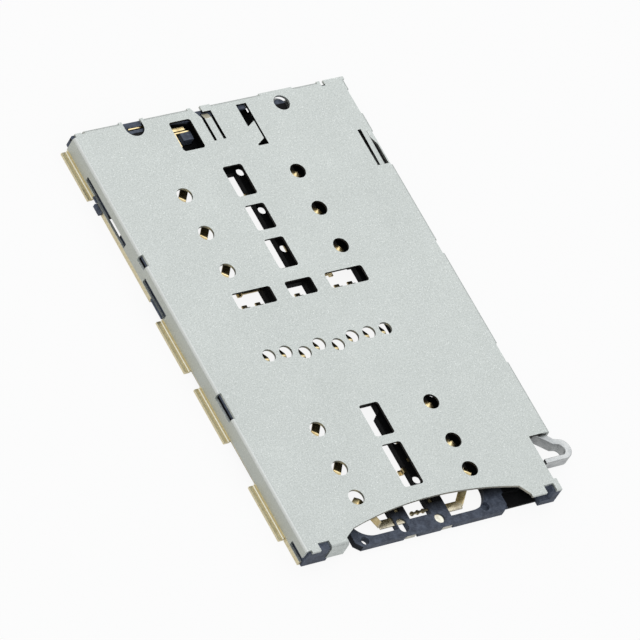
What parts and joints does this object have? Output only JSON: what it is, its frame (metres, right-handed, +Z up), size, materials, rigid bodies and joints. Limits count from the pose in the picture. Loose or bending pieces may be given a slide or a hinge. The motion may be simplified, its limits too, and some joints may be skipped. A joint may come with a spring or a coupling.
{
  "type": "sim card socket",
  "caption": "Low board socket for a card tray: folded metal cover with contact windows over a black ribbed moulding, sprung gold contacts, and a push rod with an eject lever.",
  "frame": {"origin": "board plane under the bar that holds the memory contacts, midway between the two SIM contact columns", "axes": "+X to the right, +Y from the tray mouth to the rear, +Z up from the board"},
  "size_m": [0.0193, 0.0278, 0.0014],
  "materials": {
    "cover_sheet": "matt",
    "housing": "matt black",
    "contact_gold": "gold plated",
    "rod_steel": "satin"
  },
  "bodies": {
    "socket": {"shell_cover": "cover_sheet", "base_housing": "housing", "sim_contact_rear_left_1": "contact_gold", "sim_contact_rear_left_2": "contact_gold", "sim_contact_rear_left_3": "contact_gold", "sim_contact_rear_right_1": "contact_gold", "sim_contact_rear_right_2": "contact_gold", "sim_contact_rear_right_3": "contact_gold", "sim_contact_front_left_1": "contact_gold", "sim_contact_front_left_2": "contact_gold", "sim_contact_front_left_3": "contact_gold", "sim_contact_front_right_1": "contact_gold", "sim_contact_front_right_2": "contact_gold", "sim_contact_front_right_3": "contact_gold", "memory_contact_1": "contact_gold", "memory_contact_2": "contact_gold", "memory_contact_3": "contact_gold", "memory_contact_4": "contact_gold", "memory_contact_5": "contact_gold", "memory_contact_6": "contact_gold", "memory_contact_7": "contact_gold", "memory_contact_8": "contact_gold", "switch_spring": "contact_gold", "switch_contact": "contact_gold"},
    "rod": {"push_rod": "rod_steel"},
    "lever": {"eject_lever": "rod_steel"}
  },
  "joints": [
    {"name": "rod_slide", "type": "slide", "parent": "socket", "child": "rod", "axis": [0, -1, 0], "range_m": [0, 0.0014]},
    {"name": "lever_turn", "type": "hinge", "parent": "socket", "child": "lever", "pos_m": [0.00515, 0.0126, 0.0007], "axis": [0, 0, -1], "range_deg": [0, 20.3]}
  ],
  "couplings": [
    {"joint": "lever_turn", "follows": "rod_slide", "rad_per_m": 250}
  ]
}
